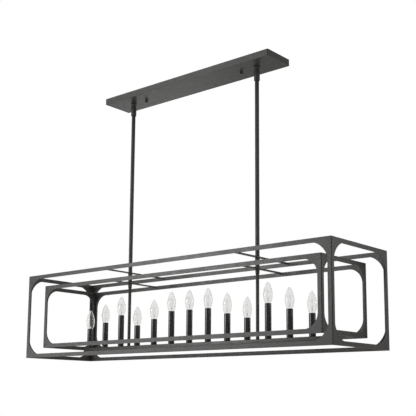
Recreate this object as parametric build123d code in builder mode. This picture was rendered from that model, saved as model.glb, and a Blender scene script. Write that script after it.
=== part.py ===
from build123d import *

import os
from math import hypot

# Linear island pendant: a flat ceiling canopy, two stems on hang-straight swivels, two nested open
# cages of cut sheet steel, and a light bar under them with a row of candle lamps at three heights.
# Millimetres, +Z up. The origin is on the ceiling, midway between the two stems.
# X runs along the fixture, Y across it, and everything hangs below Z = 0.

os.makedirs("parts", exist_ok=True)

# ---- canopy -------------------------------------------------------------------------------------
CANOPY_LENGTH = 863.6
CANOPY_WIDTH = 139.7
CANOPY_HEIGHT = 25.4
CANOPY_SHEET = 1.2
CANOPY_CORNER = 2.5
CANOPY_BEND = 1.0

# ---- mounting strap inside the canopy -----------------------------------------------------------
STRAP_WIDTH = 25.4
STRAP_THICKNESS = 2.0
STRAP_END = 25.0
OUTLET_SCREW_SPACING = 88.9
OUTLET_SLOT_LENGTH = 12.0
OUTLET_SLOT_WIDTH = 4.4
ANCHOR_INSET = 25.0
ANCHOR_HOLE_RADIUS = 2.5
WIRE_HOLE_RADIUS = 9.0
GROUND_SCREW_X = 80.0
GROUND_SCREW_RADIUS = 2.0
GROUND_HEAD_RADIUS = 4.0
GROUND_HEAD_HEIGHT = 2.6
GROUND_HEAD_CROWN = 0.8
STUD_INSET = 75.0
STUD_RADIUS = 2.0
STUD_END = 7.0

# ---- thumb nuts under the canopy ----------------------------------------------------------------
THUMB_NUT_RADIUS = 6.2
THUMB_NUT_HEIGHT = 11.0
THUMB_NUT_CROWN = 1.5
THUMB_NUT_FLOOR = 1.4

# ---- swivels ------------------------------------------------------------------------------------
BALL_RADIUS = 7.0
BALL_DROP = 4.6
NECK_WALL = 1.5
NECK_SHOULDER = 1.2
CUP_RADIUS = 12.0
CUP_BELOW_BALL_CENTRE = 3.0
CUP_LIP = 2.0
CUP_LIP_RADIUS = 9.0
CUP_COLLAR_RADIUS = 9.5
CUP_COLLAR_HEIGHT = 9.0
LOCK_NUT_FLATS = 24.0
LOCK_NUT_HEIGHT = 4.0

# ---- stems --------------------------------------------------------------------------------------
COUPLER_RADIUS = 11.25
COUPLER_TOP_GAP = 6.5
COUPLER_LENGTH = 42.5
COUPLER_SOCKET = 15.0
COUPLER_CHAMFER = 1.2
THREAD_RADIUS = 5.0
THREAD_WALL = 1.5
ROD_RADIUS = 8.0
ROD_WALL = 1.2
UPPER_ROD_LENGTH = 431.0
JOINER_LENGTH = 32.0
JOINER_WALL = 2.3
LOWER_ROD_LENGTH = 262.6
HANGER_HEAD_LENGTH = 15.0
COLLAR_NUT_RADIUS = 9.0
COLLAR_NUT_HEIGHT = 12.0
COLLAR_NUT_CHAMFER = 1.0
TAPER_NUT_LENGTH = 18.0
TAPER_NUT_THREAD_LENGTH = 10.0
TAPER_NUT_STRAIGHT = 8.0
TAPER_NUT_END_WALL = 1.0
DOWN_TUBE_WALL = 1.35

# ---- cages --------------------------------------------------------------------------------------
OUTER_LENGTH = 1524.0
OUTER_WIDTH = 368.3
OUTER_HEIGHT = 349.25
OUTER_GUSSET_RADIUS = 76.2
OUTER_GUSSET_INSET = 12.7
CAGE_END_GAP = 63.5
CAGE_SIDE_GAP = 38.1
CAGE_TOP_GAP = 42.9
INNER_GUSSET_RADIUS = 54.0
INNER_GUSSET_INSET = 15.9
STRIP_WIDTH = 15.9
PANEL_SHEET = 3.0
CORNER_STEP = 1.5
CROSS_BAR_WIDTH = 15.9
CROSS_BAR_THICKNESS = 4.0

# ---- light bar ----------------------------------------------------------------------------------
BAR_END = 25.7
BAR_WIDTH = 25.4
BAR_HEIGHT = 15.9
BAR_SHEET = 1.2
BAR_TOP_ABOVE_CAGE_BOTTOM = 44.5
BAR_NIPPLE_IN_TUBE = 14.0
CROSS_HOLE_RADIUS = 3.2
CAP_NUT_RADIUS = 8.0
CAP_NUT_HEIGHT = 7.0
CAP_NUT_THREAD = 4.5
CAP_NUT_CROWN = 2.0
HEX_NUT_FLATS = 14.0
HEX_NUT_HEIGHT = 4.0

# ---- candles ------------------------------------------------------------------------------------
LAMP_COUNT = 13
LAMPS_BETWEEN_STEMS = 7
LAMP_PITCH = 94.3
SLEEVE_RADIUS = 12.1
SLEEVE_WALL = 1.2
SHORT_SLEEVE = 82.0
MIDDLE_SLEEVE = 103.0
TALL_SLEEVE = 129.0
# heights along the row, from the left end to the right end
ROW = "short middle tall short middle tall tall tall middle short tall middle short".split()
SOCKET_RECESS = 10.0
SOCKET_FLOOR = 8.2
STEM_IN_SOCKET = 5.0

# ---- bulbs --------------------------------------------------------------------------------------
BULB_HEIGHT = 78.5
BULB_RADIUS = 17.5
BULB_NECK_LENGTH = 4.0
BULB_GLASS = 0.8
BULB_BASE_RADIUS = 5.85
BULB_BASE_WALL = 0.85
BULB_BASE_LENGTH = 16.5
BULB_BASE_DROP = 9.0
BULB_TIP_RADIUS = 3.0
BULB_TIP_LENGTH = 2.0
BULB_MOUNT_RADIUS = 2.4
BULB_MOUNT_HEIGHT = 27.0

# ---- wiring -------------------------------------------------------------------------------------
LEAD_RADIUS = 1.1
LEAD_BEND = 5.0
LEAD_SPLICE_BEND = 10.0
LEAD_SETTLE_BEND = 50.0
LEAD_ABOVE_COLLAR = 3.9
LEAD_LEVEL_STEP = 3.0
LEAD_SETTLE = 60.0
NEAR_LEAD_Y = 20.0
FAR_LEAD_Y = 12.0
SPLICE_Y = 38.0
SPLICE_X = 14.0
GROUND_SPLICE_X = 46.0
GROUND_LEAD_Y = 24.0
WIRE_NUT_MOUTH_RADIUS = 5.0
WIRE_NUT_TIP_RADIUS = 3.0
WIRE_NUT_LENGTH = 20.0

# ---- fits ---------------------------------------------------------------------------------------
HOLE_CLEARANCE = 0.2
RUNNING_CLEARANCE = 0.06
TURN_GAP = 0.2
SWING_GAP = 0.75
LEAD_CLEARANCE = 0.15
SOCKET_CLEARANCE = 1.3
BULB_MOUTH_CLEARANCE = 1.6
BULB_BASE_CLEARANCE = 0.35

# ---- heights and places that follow from the sizes above ----------------------------------------
stem_x = LAMPS_BETWEEN_STEMS * LAMP_PITCH / 2
stud_x = stem_x - STUD_INSET
canopy_floor = -CANOPY_HEIGHT + CANOPY_SHEET
ball_z = -CANOPY_HEIGHT - BALL_DROP
seat_radius = BALL_RADIUS + RUNNING_CLEARANCE
cup_bottom = ball_z - CUP_BELOW_BALL_CENTRE
cup_collar_top = -CANOPY_HEIGHT + CUP_COLLAR_HEIGHT
dish_radius = hypot(CUP_RADIUS, CUP_BELOW_BALL_CENTRE - CUP_LIP) + SWING_GAP
neck_length = dish_radius + NECK_SHOULDER
coupler_top = ball_z - COUPLER_TOP_GAP
coupler_bottom = coupler_top - COUPLER_LENGTH
upper_rod_top = coupler_bottom + COUPLER_SOCKET
rod_joint = upper_rod_top - UPPER_ROD_LENGTH
rod_bore = ROD_RADIUS - ROD_WALL
thread_bore = THREAD_RADIUS - THREAD_WALL
down_tube_radius = THREAD_RADIUS + DOWN_TUBE_WALL

inner_length = OUTER_LENGTH - 2 * CAGE_END_GAP
inner_width = OUTER_WIDTH - 2 * CAGE_SIDE_GAP
inner_height = OUTER_HEIGHT - 2 * CAGE_TOP_GAP
cage_top = rod_joint - LOWER_ROD_LENGTH
cage_centre = cage_top - OUTER_HEIGHT / 2
cage_bottom = cage_top - OUTER_HEIGHT
inner_top = cage_top - CAGE_TOP_GAP
collar_top = cage_top - CROSS_BAR_THICKNESS
collar_bottom = collar_top - COLLAR_NUT_HEIGHT
taper_top = inner_top - CROSS_BAR_THICKNESS
taper_bottom = taper_top - TAPER_NUT_LENGTH
down_tube_top = taper_top - TAPER_NUT_THREAD_LENGTH

bar_length = (LAMP_COUNT - 1) * LAMP_PITCH + 2 * BAR_END
bar_top = cage_bottom + BAR_TOP_ABOVE_CAGE_BOTTOM
bar_ceiling = bar_top - BAR_SHEET
bar_bottom = bar_top - BAR_HEIGHT
sleeve_bore = SLEEVE_RADIUS - SLEEVE_WALL
sleeve_length = {"short": SHORT_SLEEVE, "middle": MIDDLE_SLEEVE, "tall": TALL_SLEEVE}
lamp_x = [(i - (LAMP_COUNT - 1) / 2) * LAMP_PITCH for i in range(LAMP_COUNT)]
bulb_mouth_radius = sleeve_bore - BULB_MOUTH_CLEARANCE
bulb_neck_radius = BULB_BASE_RADIUS - BULB_BASE_WALL
socket_radius = sleeve_bore - SOCKET_CLEARANCE
socket_bore_depth = (
    BULB_BASE_DROP + BULB_BASE_LENGTH + BULB_TIP_LENGTH + BULB_BASE_CLEARANCE - SOCKET_RECESS
)
socket_drop = SOCKET_RECESS + socket_bore_depth + SOCKET_FLOOR

lead_side = LEAD_RADIUS + LEAD_CLEARANCE
lead_bore = lead_side + LEAD_RADIUS + LEAD_CLEARANCE
neck_radius = lead_bore + NECK_WALL
stem_lead_top = ball_z + BALL_RADIUS - LEAD_RADIUS
bar_lead_z = bar_bottom + BAR_SHEET + 2 * LEAD_RADIUS
canopy_lead_z = cup_collar_top + LEAD_ABOVE_COLLAR

stem_places = [(-stem_x, 0), (stem_x, 0)]
stud_places = [(-stud_x, 0), (stud_x, 0)]
lamp_places = [(x, 0) for x in lamp_x]
sides = (("left", -1), ("right", 1))


def save(builder, name):
    """Labels a finished piece and writes its STEP file."""
    builder.part.label = name
    export_step(builder.part, f"parts/{name}.step")


def tubes(top, bottom, radius, bore, places):
    """Straight round tubes, one at each place, from one height down to another."""
    with BuildPart() as made:
        with BuildSketch(Plane.XY.offset(top)):
            with Locations(places):
                Circle(radius)
                if bore:
                    Circle(bore, mode=Mode.SUBTRACT)
        extrude(amount=bottom - top)
    return made


def hex_nuts(top, height, flats, bore, places):
    """Hexagon nuts, one at each place, with their upper faces at one height."""
    with BuildPart() as made:
        with BuildSketch(Plane.XY.offset(top)):
            with Locations(places):
                RegularPolygon(flats / 2, 6, major_radius=False)
                Circle(bore, mode=Mode.SUBTRACT)
        extrude(amount=-height)
    return made


# ---- canopy pan: a folded sheet tray, open to the ceiling ---------------------------------------
with BuildPart() as canopy_pan:
    with BuildSketch(Plane.XY.offset(-CANOPY_HEIGHT)):
        RectangleRounded(CANOPY_LENGTH, CANOPY_WIDTH, CANOPY_CORNER)
    extrude(amount=CANOPY_HEIGHT)
    fillet(canopy_pan.faces().sort_by(Axis.Z)[0].edges(), CANOPY_BEND)
    with BuildSketch(Plane.XY.offset(canopy_floor)):
        RectangleRounded(
            CANOPY_LENGTH - 2 * CANOPY_SHEET,
            CANOPY_WIDTH - 2 * CANOPY_SHEET,
            CANOPY_CORNER - CANOPY_SHEET,
        )
    extrude(amount=-canopy_floor, mode=Mode.SUBTRACT)
    with BuildSketch(Plane.XY.offset(canopy_floor)):
        with Locations(stem_places):
            Circle(CUP_COLLAR_RADIUS + HOLE_CLEARANCE)
        with Locations(stud_places):
            Circle(STUD_RADIUS + HOLE_CLEARANCE)
    extrude(amount=-CANOPY_SHEET, mode=Mode.SUBTRACT)
save(canopy_pan, "canopy_pan")

# ---- mounting strap: flat bar with outlet-box slots, anchor holes and a hole for the supply ------
with BuildPart() as mounting_strap:
    with BuildSketch():
        Rectangle(2 * (stud_x + STRAP_END), STRAP_WIDTH)
        with Locations((-OUTLET_SCREW_SPACING / 2, 0), (OUTLET_SCREW_SPACING / 2, 0)):
            SlotOverall(OUTLET_SLOT_LENGTH, OUTLET_SLOT_WIDTH, mode=Mode.SUBTRACT)
        with Locations((ANCHOR_INSET - stud_x, 0), (stud_x - ANCHOR_INSET, 0)):
            Circle(ANCHOR_HOLE_RADIUS, mode=Mode.SUBTRACT)
        with Locations(stud_places):
            Circle(STUD_RADIUS, mode=Mode.SUBTRACT)
        with Locations((GROUND_SCREW_X, 0)):
            Circle(GROUND_SCREW_RADIUS, mode=Mode.SUBTRACT)
        Circle(WIRE_HOLE_RADIUS, mode=Mode.SUBTRACT)
    extrude(amount=-STRAP_THICKNESS)
save(mounting_strap, "mounting_strap")

# studs pressed into the strap, which reach down through the canopy to the thumb nuts
save(tubes(0, -CANOPY_HEIGHT - STUD_END, STUD_RADIUS, 0, stud_places), "strap_studs")

with BuildPart() as ground_screw:
    with Locations((GROUND_SCREW_X, 0, -STRAP_THICKNESS)):
        Cylinder(
            GROUND_SCREW_RADIUS,
            STRAP_THICKNESS,
            align=(Align.CENTER, Align.CENTER, Align.MIN),
        )
        Cylinder(
            GROUND_HEAD_RADIUS,
            GROUND_HEAD_HEIGHT,
            align=(Align.CENTER, Align.CENTER, Align.MAX),
        )
    fillet(ground_screw.faces().sort_by(Axis.Z)[0].edges(), GROUND_HEAD_CROWN)
save(ground_screw, "ground_screw")

# ---- thumb nuts: blind, crowned below, each running on its stud ----------------------------------
for side, sign in sides:
    nut_top = -CANOPY_HEIGHT - TURN_GAP
    with BuildPart() as thumb_nut:
        with Locations((sign * stud_x, 0, nut_top)):
            Cylinder(
                THUMB_NUT_RADIUS,
                THUMB_NUT_HEIGHT,
                align=(Align.CENTER, Align.CENTER, Align.MAX),
            )
        fillet(thumb_nut.faces().sort_by(Axis.Z)[0].edges(), THUMB_NUT_CROWN)
        with Locations((sign * stud_x, 0, nut_top)):
            Cylinder(
                STUD_RADIUS + RUNNING_CLEARANCE,
                THUMB_NUT_HEIGHT - THUMB_NUT_FLOOR,
                align=(Align.CENTER, Align.CENTER, Align.MAX),
                mode=Mode.SUBTRACT,
            )
    save(thumb_nut, f"thumb_nut_{side}")

# ---- swivel cups: fixed under the canopy, with a round seat for the ball and a threaded collar ---
with BuildPart() as swivel_cups:
    with Locations([(x, y, cup_bottom) for x, y in stem_places]):
        Cone(
            CUP_LIP_RADIUS,
            CUP_RADIUS,
            CUP_LIP,
            align=(Align.CENTER, Align.CENTER, Align.MIN),
        )
    with Locations([(x, y, cup_bottom + CUP_LIP) for x, y in stem_places]):
        Cylinder(
            CUP_RADIUS,
            -CANOPY_HEIGHT - cup_bottom - CUP_LIP,
            align=(Align.CENTER, Align.CENTER, Align.MIN),
        )
    with Locations([(x, y, -CANOPY_HEIGHT) for x, y in stem_places]):
        Cylinder(
            CUP_COLLAR_RADIUS,
            CUP_COLLAR_HEIGHT,
            align=(Align.CENTER, Align.CENTER, Align.MIN),
        )
    with Locations([(x, y, ball_z) for x, y in stem_places]):
        Sphere(seat_radius, mode=Mode.SUBTRACT)
        Cylinder(
            seat_radius,
            cup_collar_top - ball_z,
            align=(Align.CENTER, Align.CENTER, Align.MIN),
            mode=Mode.SUBTRACT,
        )
save(swivel_cups, "swivel_cups")

save(
    hex_nuts(
        canopy_floor + LOCK_NUT_HEIGHT,
        LOCK_NUT_HEIGHT,
        LOCK_NUT_FLATS,
        CUP_COLLAR_RADIUS,
        stem_places,
    ),
    "swivel_lock_nuts",
)

# ---- swivel balls: a hollow ball on a neck, with a thread below that screws into the coupler -----
thread_length = coupler_bottom + COUPLER_SOCKET - (ball_z - neck_length)
with BuildPart() as swivel_balls:
    with Locations([(x, y, ball_z) for x, y in stem_places]):
        Sphere(BALL_RADIUS)
    with BuildSketch(Plane.XY.offset(ball_z)):
        with Locations(stem_places):
            Circle(neck_radius)
    extrude(amount=-neck_length)
    with BuildSketch(Plane.XY.offset(ball_z - neck_length)):
        with Locations(stem_places):
            Circle(THREAD_RADIUS)
    extrude(amount=thread_length)
    with BuildSketch(Plane.XY.offset(ball_z + BALL_RADIUS)):
        with Locations(stem_places):
            Circle(lead_bore)
    extrude(amount=thread_length - neck_length - BALL_RADIUS, mode=Mode.SUBTRACT)
save(swivel_balls, "swivel_balls")

# ---- rod couplers: sleeves dished on top so that they clear the cup as the stem swings -----------
for side, sign in sides:
    place = [(sign * stem_x, 0)]
    with BuildPart() as rod_coupler:
        with BuildSketch(Plane.XY.offset(coupler_top)):
            with Locations(place):
                Circle(COUPLER_RADIUS)
        extrude(amount=-COUPLER_LENGTH)
        chamfer(rod_coupler.faces().sort_by(Axis.Z)[0].edges(), COUPLER_CHAMFER)
        with Locations((sign * stem_x, 0, ball_z)):
            Sphere(dish_radius, mode=Mode.SUBTRACT)
        with BuildSketch(Plane.XY.offset(coupler_top)):
            with Locations(place):
                Circle(THREAD_RADIUS)
        extrude(amount=COUPLER_SOCKET - COUPLER_LENGTH, mode=Mode.SUBTRACT)
        with BuildSketch(Plane.XY.offset(coupler_bottom)):
            with Locations(place):
                Circle(ROD_RADIUS)
        extrude(amount=COUPLER_SOCKET, mode=Mode.SUBTRACT)
    save(rod_coupler, f"rod_coupler_{side}")

# ---- rods: two lengths of tube on each side, joined end to end by a threaded joiner --------------
for side, sign in sides:
    place = [(sign * stem_x, 0)]
    upper_rod = tubes(upper_rod_top, rod_joint, ROD_RADIUS, rod_bore, place)
    save(upper_rod, f"upper_rod_{side}")
    lower_rod = tubes(rod_joint, cage_top, ROD_RADIUS, rod_bore, place)
    save(lower_rod, f"lower_rod_{side}")
    down_tube = tubes(down_tube_top, bar_top, down_tube_radius, THREAD_RADIUS, place)
    save(down_tube, f"down_tube_{side}")

joiners = tubes(
    rod_joint + JOINER_LENGTH / 2,
    rod_joint - JOINER_LENGTH / 2,
    rod_bore,
    rod_bore - JOINER_WALL,
    stem_places,
)
save(joiners, "rod_joiners")

# ---- hanger nipples: held in the foot of each rod, they pass down through both cross-bars --------
with BuildPart() as hanger_nipples:
    with BuildSketch(Plane.XY.offset(cage_top)):
        with Locations(stem_places):
            Circle(rod_bore)
    extrude(amount=HANGER_HEAD_LENGTH)
    with BuildSketch(Plane.XY.offset(cage_top)):
        with Locations(stem_places):
            Circle(THREAD_RADIUS)
    extrude(amount=down_tube_top - cage_top)
    with BuildSketch(Plane.XY.offset(cage_top + HANGER_HEAD_LENGTH)):
        with Locations(stem_places):
            Circle(thread_bore)
    extrude(amount=down_tube_top - cage_top - HANGER_HEAD_LENGTH, mode=Mode.SUBTRACT)
save(hanger_nipples, "hanger_nipples")

with BuildPart() as collar_nuts:
    with BuildSketch(Plane.XY.offset(collar_top)):
        with Locations(stem_places):
            Circle(COLLAR_NUT_RADIUS)
    extrude(amount=-COLLAR_NUT_HEIGHT)
    chamfer(collar_nuts.edges(), COLLAR_NUT_CHAMFER)
    with BuildSketch(Plane.XY.offset(collar_top)):
        with Locations(stem_places):
            Circle(THREAD_RADIUS)
    extrude(amount=-COLLAR_NUT_HEIGHT, mode=Mode.SUBTRACT)
save(collar_nuts, "collar_nuts")

# plain tubes that hold the two cross-bars apart
save(tubes(collar_bottom, inner_top, ROD_RADIUS, rod_bore, stem_places), "spacer_tubes")

# nuts that clamp the inner cross-bars and narrow to meet the down tubes
with BuildPart() as taper_nuts:
    with Locations([(x, y, taper_top) for x, y in stem_places]):
        Cylinder(
            ROD_RADIUS,
            TAPER_NUT_STRAIGHT,
            align=(Align.CENTER, Align.CENTER, Align.MAX),
        )
    with Locations([(x, y, taper_top - TAPER_NUT_STRAIGHT) for x, y in stem_places]):
        Cone(
            down_tube_radius + TAPER_NUT_END_WALL,
            ROD_RADIUS,
            TAPER_NUT_LENGTH - TAPER_NUT_STRAIGHT,
            align=(Align.CENTER, Align.CENTER, Align.MAX),
        )
    with Locations([(x, y, taper_top) for x, y in stem_places]):
        Cylinder(
            THREAD_RADIUS,
            TAPER_NUT_THREAD_LENGTH,
            align=(Align.CENTER, Align.CENTER, Align.MAX),
            mode=Mode.SUBTRACT,
        )
    with Locations([(x, y, taper_bottom) for x, y in stem_places]):
        Cylinder(
            down_tube_radius,
            TAPER_NUT_LENGTH - TAPER_NUT_THREAD_LENGTH,
            align=(Align.CENTER, Align.CENTER, Align.MIN),
            mode=Mode.SUBTRACT,
        )
save(taper_nuts, "taper_nuts")


# ---- cages: four flat panels each, cut from sheet with curved gussets in the window corners ------
def frame_panel(face, width, height, window_width, gusset_radius, gusset_inset, depth):
    """A sheet panel with a framed window whose corners are filled by curved gussets."""
    with BuildPart() as panel:
        with BuildSketch(face):
            with Locations((0, cage_centre)):
                Rectangle(width, height)
            with BuildSketch(mode=Mode.PRIVATE) as window:
                RectangleRounded(
                    window_width - 2 * gusset_inset,
                    height - 2 * gusset_inset,
                    gusset_radius,
                )
                Rectangle(
                    window_width - 2 * STRIP_WIDTH,
                    height - 2 * STRIP_WIDTH,
                    mode=Mode.INTERSECT,
                )
            with Locations((0, cage_centre)):
                add(window.sketch, mode=Mode.SUBTRACT)
        extrude(amount=depth)
    return panel


cages = (
    ("outer", OUTER_LENGTH, OUTER_WIDTH, OUTER_HEIGHT, OUTER_GUSSET_RADIUS, OUTER_GUSSET_INSET),
    ("inner", inner_length, inner_width, inner_height, INNER_GUSSET_RADIUS, INNER_GUSSET_INSET),
)
for cage, length, width, height, radius, inset in cages:
    for side, sign in (("front", -1), ("back", 1)):
        panel = frame_panel(
            Plane.XZ.offset(-sign * width / 2),
            length - 2 * CORNER_STEP,
            height,
            length,
            radius,
            inset,
            sign * PANEL_SHEET,
        )
        save(panel, f"{cage}_{side}_panel")
    for side, sign in sides:
        panel = frame_panel(
            Plane.YZ.offset(sign * length / 2),
            width - 2 * PANEL_SHEET,
            height,
            width,
            radius,
            inset,
            -sign * PANEL_SHEET,
        )
        save(panel, f"{cage}_{side}_panel")
        bar_level = cage_centre + height / 2
        with BuildPart() as cross_bar:
            with BuildSketch(Plane.XY.offset(bar_level)):
                with Locations((sign * stem_x, 0)):
                    Rectangle(CROSS_BAR_WIDTH, width - 2 * PANEL_SHEET)
                    Circle(THREAD_RADIUS + HOLE_CLEARANCE, mode=Mode.SUBTRACT)
            extrude(amount=-CROSS_BAR_THICKNESS)
        save(cross_bar, f"{cage}_cross_bar_{side}")

# ---- light bar: a folded channel, open below and closed by a cover plate -------------------------
with BuildPart() as light_bar:
    with BuildSketch(Plane.XY.offset(bar_top)):
        Rectangle(bar_length, BAR_WIDTH)
    extrude(amount=-BAR_HEIGHT)
    with BuildSketch(Plane.XY.offset(bar_ceiling)):
        Rectangle(bar_length - 2 * BAR_SHEET, BAR_WIDTH - 2 * BAR_SHEET)
    extrude(amount=bar_bottom - bar_ceiling, mode=Mode.SUBTRACT)
    with BuildSketch(Plane.XY.offset(bar_top)):
        with Locations(stem_places + lamp_places):
            Circle(THREAD_RADIUS + HOLE_CLEARANCE)
    extrude(amount=-BAR_SHEET, mode=Mode.SUBTRACT)
save(light_bar, "light_bar")

with BuildPart() as light_bar_cover:
    with BuildSketch(Plane.XY.offset(bar_bottom)):
        Rectangle(bar_length - 2 * BAR_SHEET, BAR_WIDTH - 2 * BAR_SHEET)
        with Locations(stem_places):
            Circle(THREAD_RADIUS + HOLE_CLEARANCE, mode=Mode.SUBTRACT)
    extrude(amount=BAR_SHEET)
save(light_bar_cover, "light_bar_cover")

# nipples from the down tubes through the bar, with a cross hole inside it for the leads
cross_hole_z = bar_lead_z + CROSS_HOLE_RADIUS - 2 * LEAD_RADIUS
with BuildPart() as bar_nipples:
    with BuildSketch(Plane.XY.offset(bar_top + BAR_NIPPLE_IN_TUBE)):
        with Locations(stem_places):
            Circle(THREAD_RADIUS)
            Circle(thread_bore, mode=Mode.SUBTRACT)
    extrude(amount=-BAR_NIPPLE_IN_TUBE - BAR_HEIGHT - CAP_NUT_THREAD)
    for x, y in stem_places:
        with BuildSketch(Plane.YZ.offset(x - THREAD_RADIUS)):
            with Locations((0, cross_hole_z)):
                Circle(CROSS_HOLE_RADIUS)
        extrude(amount=2 * THREAD_RADIUS, mode=Mode.SUBTRACT)
save(bar_nipples, "bar_nipples")

with BuildPart() as bar_cap_nuts:
    with BuildSketch(Plane.XY.offset(bar_bottom)):
        with Locations(stem_places):
            Circle(CAP_NUT_RADIUS)
    extrude(amount=-CAP_NUT_HEIGHT)
    fillet(bar_cap_nuts.faces().group_by(Axis.Z)[0].edges(), CAP_NUT_CROWN)
    with BuildSketch(Plane.XY.offset(bar_bottom)):
        with Locations(stem_places):
            Circle(THREAD_RADIUS)
    extrude(amount=-CAP_NUT_THREAD, mode=Mode.SUBTRACT)
save(bar_cap_nuts, "bar_cap_nuts")

# one nut inside the bar on each nipple and on each lamp stem
bar_nuts = hex_nuts(
    bar_ceiling,
    HEX_NUT_HEIGHT,
    HEX_NUT_FLATS,
    THREAD_RADIUS,
    stem_places + lamp_places,
)
save(bar_nuts, "bar_lock_nuts")

# ---- candle sleeves: thin tubes standing on the bar round the sockets ----------------------------
for size, length in sleeve_length.items():
    places = [(x, 0) for x, kind in zip(lamp_x, ROW) if kind == size]
    sleeves = tubes(bar_top + length, bar_top, SLEEVE_RADIUS, sleeve_bore, places)
    save(sleeves, f"candle_sleeves_{size}")

# ---- sockets and the threaded stems that carry them ----------------------------------------------
with BuildPart() as lamp_sockets:
    for x, kind in zip(lamp_x, ROW):
        socket_foot = bar_top + sleeve_length[kind] - socket_drop
        with BuildSketch(Plane.XY.offset(socket_foot)):
            with Locations((x, 0)):
                Circle(socket_radius)
                Circle(THREAD_RADIUS, mode=Mode.SUBTRACT)
        extrude(amount=STEM_IN_SOCKET)
        with BuildSketch(Plane.XY.offset(socket_foot + STEM_IN_SOCKET)):
            with Locations((x, 0)):
                Circle(socket_radius)
        extrude(amount=SOCKET_FLOOR - STEM_IN_SOCKET)
        with BuildSketch(Plane.XY.offset(socket_foot + SOCKET_FLOOR)):
            with Locations((x, 0)):
                Circle(socket_radius)
                Circle(BULB_BASE_RADIUS + BULB_BASE_CLEARANCE, mode=Mode.SUBTRACT)
        extrude(amount=socket_bore_depth)
save(lamp_sockets, "lamp_sockets")

with BuildPart() as socket_stems:
    for x, kind in zip(lamp_x, ROW):
        stem_foot = bar_ceiling - HEX_NUT_HEIGHT
        stem_top = bar_top + sleeve_length[kind] - socket_drop + STEM_IN_SOCKET
        with BuildSketch(Plane.XY.offset(stem_foot)):
            with Locations((x, 0)):
                Circle(THREAD_RADIUS)
                Circle(thread_bore, mode=Mode.SUBTRACT)
        extrude(amount=stem_top - stem_foot)
save(socket_stems, "socket_stems")


# ---- bulbs: clear torpedo glass on a small screw base, all alike and drawn once at Z = 0 ---------
def torpedo(shrink):
    """Closed half outline of the glass, from its neck to its tip, drawn in by the shrink."""
    neck = bulb_neck_radius - shrink
    shape = (
        (bulb_mouth_radius, 0.0),
        (0.83 * BULB_RADIUS, 0.13),
        (BULB_RADIUS, 0.40),
        (0.87 * BULB_RADIUS, 0.61),
        (0.60 * BULB_RADIUS, 0.80),
        (0.32 * BULB_RADIUS, 0.93),
    )
    foot = Polyline(
        (0, -BULB_BASE_DROP - BULB_NECK_LENGTH),
        (neck, -BULB_BASE_DROP - BULB_NECK_LENGTH),
        (neck, -BULB_BASE_DROP),
    )
    wall = Spline(
        [foot @ 1]
        + [(radius - shrink, height * BULB_HEIGHT) for radius, height in shape]
        + [(0, BULB_HEIGHT - shrink)],
        tangents=((0, 1), (-1, 0)),
    )
    Line(wall @ 1, foot @ 0)


with BuildPart() as bulb_glass:
    with BuildSketch(Plane.XZ):
        with BuildLine():
            torpedo(0)
        make_face()
        with BuildLine():
            torpedo(BULB_GLASS)
        make_face(mode=Mode.SUBTRACT)
    revolve(axis=Axis.Z)

with BuildPart() as bulb_base:
    with BuildSketch(Plane.XY.offset(-BULB_BASE_DROP)):
        Circle(BULB_BASE_RADIUS)
        Circle(bulb_neck_radius, mode=Mode.SUBTRACT)
    extrude(amount=-BULB_NECK_LENGTH)
    with BuildSketch(Plane.XY.offset(-BULB_BASE_DROP - BULB_NECK_LENGTH)):
        Circle(BULB_BASE_RADIUS)
    extrude(amount=BULB_NECK_LENGTH - BULB_BASE_LENGTH)
    with BuildSketch(Plane.XY.offset(-BULB_BASE_DROP - BULB_BASE_LENGTH)):
        Circle(BULB_TIP_RADIUS)
    extrude(amount=-BULB_TIP_LENGTH)

with BuildPart() as bulb_mount:
    with BuildSketch(Plane.XY.offset(-BULB_BASE_DROP - BULB_NECK_LENGTH)):
        Circle(BULB_MOUNT_RADIUS)
    extrude(amount=BULB_MOUNT_HEIGHT)

for number, (x, kind) in enumerate(zip(lamp_x, ROW), start=1):
    place = Location((x, 0, bar_top + sleeve_length[kind]))
    pieces = [made.part.moved(place) for made in (bulb_glass, bulb_base, bulb_mount)]
    bulb = Compound(children=pieces)
    bulb.label = f"bulb_{number:02d}"
    export_step(bulb, f"parts/bulb_{number:02d}.step")

# ---- wiring inside the canopy: the stems' leads and a ground lead, with their wire connectors ----
low_level = canopy_lead_z
high_level = canopy_lead_z + LEAD_LEVEL_STEP
splice_z = (low_level + high_level) / 2
with BuildPart() as wire_connectors:
    for x in (-SPLICE_X, SPLICE_X, GROUND_SPLICE_X):
        with BuildSketch(Plane.XZ.offset(-SPLICE_Y)):
            with Locations((x, splice_z)):
                Circle(WIRE_NUT_MOUTH_RADIUS)
        with BuildSketch(Plane.XZ.offset(-SPLICE_Y - WIRE_NUT_LENGTH)):
            with Locations((x, splice_z)):
                Circle(WIRE_NUT_TIP_RADIUS)
        loft()
save(wire_connectors, "wire_connectors")


def lead(*points, bends):
    """A round lead along straight runs joined by arcs, added to the part that is being built."""
    with BuildLine():
        route = FilletPolyline(*points, radius=bends)
    with BuildSketch(Plane(origin=route @ 0, z_dir=route % 0)) as section:
        Circle(LEAD_RADIUS)
    sweep(section.sketch, path=route)


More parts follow.
